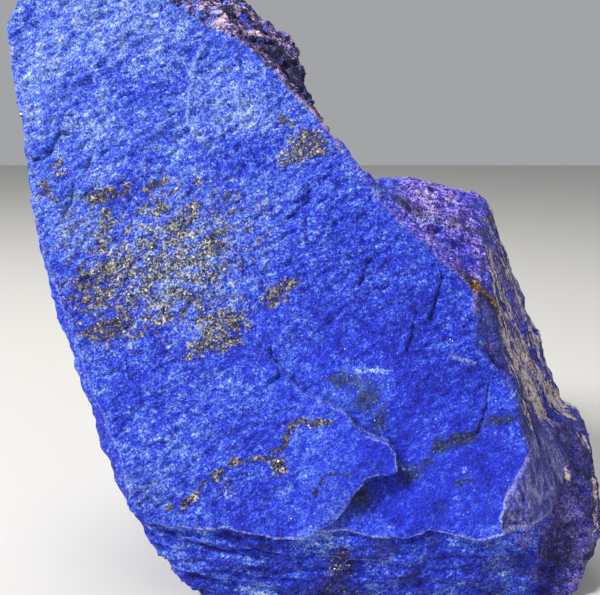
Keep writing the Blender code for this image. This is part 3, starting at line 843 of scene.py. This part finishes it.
# Thin marks: painted shade in the cracks and in the leaf's gap, and painted highlights on the split's
# light and pink rims, the leaf's rim, the raised edges, the ledges and the lobe's ridge. Each has the
# distance that it follows, its half width, its soft edge, its shares and its colour.
highlight_breakup = rock.step(fine_grain, 0.34, 0.56)
edge_place = rock.painted("edge_line")
leaf_place = rock.painted("leaf_line")
leaf_part = rock.step(rock.painted("leaf_along"), 0.0, 0.26)
thin_marks = [
    (rock.sway(rock.painted("crack_line"), (fine_grain, 1.2)), 0.1, 0.8,
     (split_share, 0.6), "080d4c"),
    (rock.sums("ADD", edge_place, -0.1), 0.15, 0.7,
     (rock.painted("rim_highlight"), front_share, highlight_breakup), "a9b6fb"),
    (rock.sums("ADD", edge_place, 0.2), 0.3, 0.8,
     (rock.painted("pink_highlight"), front_share, highlight_breakup), "cfa4bc"),
    (rock.sums("ADD", leaf_place, -1.0), 0.5, 1.2,
     (leaf_part, split_share, rock.step(clumps, 0.4, 0.6), 0.7), "0a0f4c"),
    (rock.sums("ADD", leaf_place, 0.2), 0.1, 0.6,
     (leaf_part, split_share, highlight_breakup, rock.step(clumps, 0.36, 0.56, 0.3, 0.75)), "8fa6f8"),
    (rock.painted("seam_line"), 0.3, 1.4,
     (split_share, rock.step(fine_grain, 0.42, 0.6), 0.75), "a9c2fc"),
    (rock.painted("ledge_line"), 0.2, 0.7,
     (rock.painted("band"), rock.step(clumps, 0.4, 0.55), 0.45), "a3b4fa"),
    (rock.painted("lobe_line"), 0.3, 1.0,
     (front_share, highlight_breakup, 0.45), "b8b8ee"),
]
for distance, half_width, soft, shares, tint in thin_marks:
    base = rock.mix(rock.product(rock.line(distance, half_width, soft), *shares), base, colour(tint))

# Rust where pyrite has weathered
rust_colour = rock.ramp(fine_grain, [(0.36, "0c0808"), (0.46, "4a3022"), (0.56, "b0824c"), (0.7, "f2d4a0")])
rust_share = rock.broken(rock.painted("rust"), [(clumps, 1.6)], 0.35, 0.6)
base = rock.mix(rust_share, base, rust_colour)
rock.set(rock.shader.inputs["Base Color"], base)

# The pyrite is partly metallic, a few crystals glint, and the grain stands out as a fine relief
rock.set(rock.shader.inputs["Metallic"], rock.product(metal_share, 0.3))
glint = rock.step(grain_first, 0.86, 0.93)
rock.set(rock.shader.inputs["Roughness"], rock.step(glint, 0.0, 1.0, 0.74, 0.34))
rock.shader.inputs["Specular IOR Level"].default_value = 0.35
coarse_relief = rock.bump(rock.product(fabric, fabric_share), 2.6)
grain_height = rock.scaled(grain_middle, -0.5, fine_grain)
rock.set(rock.shader.inputs["Normal"], rock.bump(grain_height, 1.0, coarse_relief))
block.data.materials.clear()
block.data.materials.append(rock.material)

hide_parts("lapis_lazuli_stone")
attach(block, "root")

# The pyrite and calcite grains
# Small crystals that grew in the rock and stand out of its breaks: brassy cubes of pyrite in the
# patches and veins, and pale rounded grains of calcite near them. They are scattered over the block.

# Where each kind of grain grows, as a share painted on the block's points
flecks = rock_noise(points, (3.2, 3.2, 3.2), 3, 43)
clusters = rock_noise(points, (14, 14, 14), 3, 44)
off_foot = rise(z, 2, 5)
in_patches = rise(patches(drift_x, drift_z, PYRITE_PATCHES), 0.45, 1.0) * rise(flecks, -0.2, 0.4)
vein_gap = near_line(drift_x, drift_z, PYRITE_VEIN)[0]
in_vein = 0.14 * (1 - rise(vein_gap, 0.4, 1.8)) * rise(flecks, -0.3, 0.3)
sparkle = (1 - split) * streaks(points, SPARKLES) * rise(flecks, 0.0, 0.5)
on_back = 0.3 * unseen * pyrite_spots
paint("pyrite_density", off_foot * (split * (in_patches + in_vein) + 0.9 * sparkle + on_back))
near_pale = 0.06 + 0.5 * rise(clusters, 0.1, 0.8) + 0.9 * patches(drift_x, drift_z, PALE_PATCHES)
paint("calcite_density", off_foot * split * near_pale * rise(flecks, 0.1, 0.6))

# What the scatter is given, and the smallest and largest grain beside the grain size
SCATTER_INPUTS = {
    "Rock": "Geometry", "Crystal": "Object", "Where": "String", "Grains per Square Metre": "Float",
    "Grain Size": "Float", "Seed": "Int", "Finish": "Material",
}
GRAIN_SPREAD = (0.4, 1.7)


def grain_scatter():
    """A node tree that scatters small crystals over a surface, more where a stored share is high."""
    tree = bpy.data.node_groups.new("crystal_scatter", "GeometryNodeTree")
    for label, kind in SCATTER_INPUTS.items():
        tree.interface.new_socket(label, in_out="INPUT", socket_type=f"NodeSocket{kind}")
    tree.interface.new_socket("Grains", in_out="OUTPUT", socket_type="NodeSocketGeometry")
    new, link = tree.nodes.new, tree.links.new
    given = new("NodeGroupInput")
    share = new("GeometryNodeInputNamedAttribute")
    share.data_type = "FLOAT"
    link(given.outputs["Where"], share.inputs["Name"])
    density = new("ShaderNodeMath")
    density.operation = "MULTIPLY"
    link(share.outputs["Attribute"], density.inputs[0])
    link(given.outputs["Grains per Square Metre"], density.inputs[1])
    scatter = new("GeometryNodeDistributePointsOnFaces")
    link(given.outputs["Rock"], scatter.inputs["Mesh"])
    link(density.outputs[0], scatter.inputs["Density"])
    link(given.outputs["Seed"], scatter.inputs["Seed"])
    turn = new("FunctionNodeRandomValue")
    turn.data_type = "FLOAT_VECTOR"
    turn.inputs[1].default_value = (math.tau, math.tau, math.tau)
    link(given.outputs["Seed"], turn.inputs["Seed"])
    spread = new("FunctionNodeRandomValue")
    spread.data_type = "FLOAT"
    spread.inputs[2].default_value, spread.inputs[3].default_value = GRAIN_SPREAD
    link(given.outputs["Seed"], spread.inputs["Seed"])
    size = new("ShaderNodeMath")
    size.operation = "MULTIPLY"
    link(spread.outputs[1], size.inputs[0])
    link(given.outputs["Grain Size"], size.inputs[1])
    crystal = new("GeometryNodeObjectInfo")
    link(given.outputs["Crystal"], crystal.inputs["Object"])
    place = new("GeometryNodeInstanceOnPoints")
    link(scatter.outputs["Points"], place.inputs["Points"])
    link(crystal.outputs["Geometry"], place.inputs["Instance"])
    link(turn.outputs[0], place.inputs["Rotation"])
    link(size.outputs[0], place.inputs["Scale"])
    real = new("GeometryNodeRealizeInstances")
    link(place.outputs["Instances"], real.inputs["Geometry"])
    finish = new("GeometryNodeSetMaterial")
    link(real.outputs["Geometry"], finish.inputs["Geometry"])
    link(given.outputs["Finish"], finish.inputs["Material"])
    result = new("NodeGroupOutput")
    link(finish.outputs["Geometry"], result.inputs["Grains"])
    return tree


def crystal_shape(name, kind):
    """One crystal of unit size: a cube for pyrite, a rounded lump for calcite."""
    shape = bmesh.new()
    if kind == "cube":
        bmesh.ops.create_cube(shape, size=1.5)
    else:
        bmesh.ops.create_icosphere(shape, subdivisions=1, radius=1.0)
    mesh = bpy.data.meshes.new(name)
    shape.to_mesh(mesh)
    shape.free()
    return bpy.data.objects.new(name, mesh)


def grain_finish(name, lump, stops, metallic, roughness):
    """A finish for small crystals, mottled from one shade to another in lumps of some millimetres."""
    finish = Recipe(name)
    shades = finish.mottle(finish.layers(), lump, 2, 0.7)
    finish.set(finish.shader.inputs["Base Color"], finish.ramp(shades, stops))
    finish.shader.inputs["Metallic"].default_value = metallic
    finish.shader.inputs["Roughness"].default_value = roughness
    return finish.material


pyrite_metal = grain_finish(
    "pyrite_metal", 1.2, [(0.34, "1c1a18"), (0.5, "5c574a"), (0.7, "cfc8b8")], 0.8, 0.42,
)
calcite_stone = grain_finish(
    "calcite_grain", 1.5, [(0.32, "4a6ae4"), (0.5, "8fa8ee"), (0.68, "e6edfb")], 0.0, 0.5,
)

# Each kind of grain: its piece, the share that it follows, its size in millimetres, how many for each
# square metre, its seed, its shape and its finish
GRAIN_KINDS = [
    ("pyrite_grains", "pyrite_density", 0.38, 800000, 5, "cube", pyrite_metal),
    ("calcite_grains", "calcite_density", 0.24, 160000, 9, "lump", calcite_stone),
]

scatter_tree = grain_scatter()
for name, where, size, per_metre, seed, kind, finish in GRAIN_KINDS:
    crystal = crystal_shape(f"{name}_one", kind)
    carrier = bpy.data.objects.new(f"{name}_carrier", block.data.copy())
    bpy.context.scene.collection.objects.link(carrier)
    scatter = carrier.modifiers.new("scatter", "NODES")
    scatter.node_group = scatter_tree
    given = {
        "Crystal": crystal, "Where": where, "Grains per Square Metre": float(per_metre),
        "Grain Size": size * MM, "Seed": seed, "Finish": finish,
    }
    for socket in scatter_tree.interface.items_tree:
        if socket.in_out == "INPUT" and socket.name in given:
            scatter[socket.identifier] = given[socket.name]
    graph = bpy.context.evaluated_depsgraph_get()
    mesh = bpy.data.meshes.new_from_object(carrier.evaluated_get(graph))
    bpy.data.objects.remove(carrier)
    bpy.data.objects.remove(crystal)
    grains = bpy.data.objects.new(name, mesh)
    bpy.context.scene.collection.objects.link(grains)
    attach(grains, "root")

# The table, the lights and the camera
# A plain pale table and a pale room, with one strong soft lamp from the upper left and two weak ones.
# The camera stands at the photograph's place, close in front of the stone, and looks slightly down.

TABLE_REACH = 4.0
ROOM_COLOUR = (0.86, 0.88, 0.92, 1)
ROOM_STRENGTH = 0.42
CAMERA_PLACE = (-0.00592, -0.37419, 0.2)
CAMERA_PITCH = 78
CAMERA_LENS = 48
CAMERA_SENSOR = 36

# Each lamp: its name, its place, what it is turned to, its width, its power in watts and its tint
SOFT_LAMPS = [
    ("key", (-1.45, -0.85, 1.75), (-0.02, -0.04, 0.13), 0.45, 77.0, (1.0, 0.99, 0.97)),
    ("top", (-0.1, 0.25, 1.3), (0, 0, 0.15), 0.6, 6.0, (0.98, 0.99, 1.0)),
    ("fill", (1.0, -0.9, 0.6), (0, 0, 0.1), 0.8, 4.2, (1.0, 0.99, 0.98)),
]

floor_mesh = bpy.data.meshes.new("table_top")
floor_shape = bmesh.new()
bmesh.ops.create_grid(floor_shape, x_segments=1, y_segments=1, size=TABLE_REACH)
floor_shape.to_mesh(floor_mesh)
floor_shape.free()
floor = bpy.data.objects.new("table_top", floor_mesh)
bpy.context.scene.collection.objects.link(floor)
floor_finish = Recipe("pale_table")
floor_finish.shader.inputs["Base Color"].default_value = colour("c8c6c1")
floor_finish.shader.inputs["Roughness"].default_value = 0.55
floor_mesh.materials.append(floor_finish.material)


def soft_lamp(name, place, aim, size, watts, tint):
    """A square soft lamp at a place, turned to what it lights."""
    data = bpy.data.lights.new(name, "AREA")
    data.size = size
    data.energy = watts
    data.color = tint
    lamp = bpy.data.objects.new(name, data)
    lamp.location = place
    lamp.rotation_euler = (Vector(aim) - Vector(place)).to_track_quat("-Z", "Y").to_euler()
    bpy.context.scene.collection.objects.link(lamp)


for lamp in SOFT_LAMPS:
    soft_lamp(*lamp)

world = bpy.data.worlds.new("pale_room")
world.use_nodes = True
world.node_tree.nodes["Background"].inputs["Color"].default_value = ROOM_COLOUR
world.node_tree.nodes["Background"].inputs["Strength"].default_value = ROOM_STRENGTH
bpy.context.scene.world = world
bpy.context.scene.view_settings.view_transform = "Standard"

camera_data = bpy.data.cameras.new("camera")
camera_data.lens = CAMERA_LENS
camera_data.sensor_width = CAMERA_SENSOR
camera = bpy.data.objects.new("camera", camera_data)
camera.location = CAMERA_PLACE
camera.rotation_euler = (math.radians(CAMERA_PITCH), 0, 0)
bpy.context.scene.collection.objects.link(camera)
bpy.context.scene.camera = camera
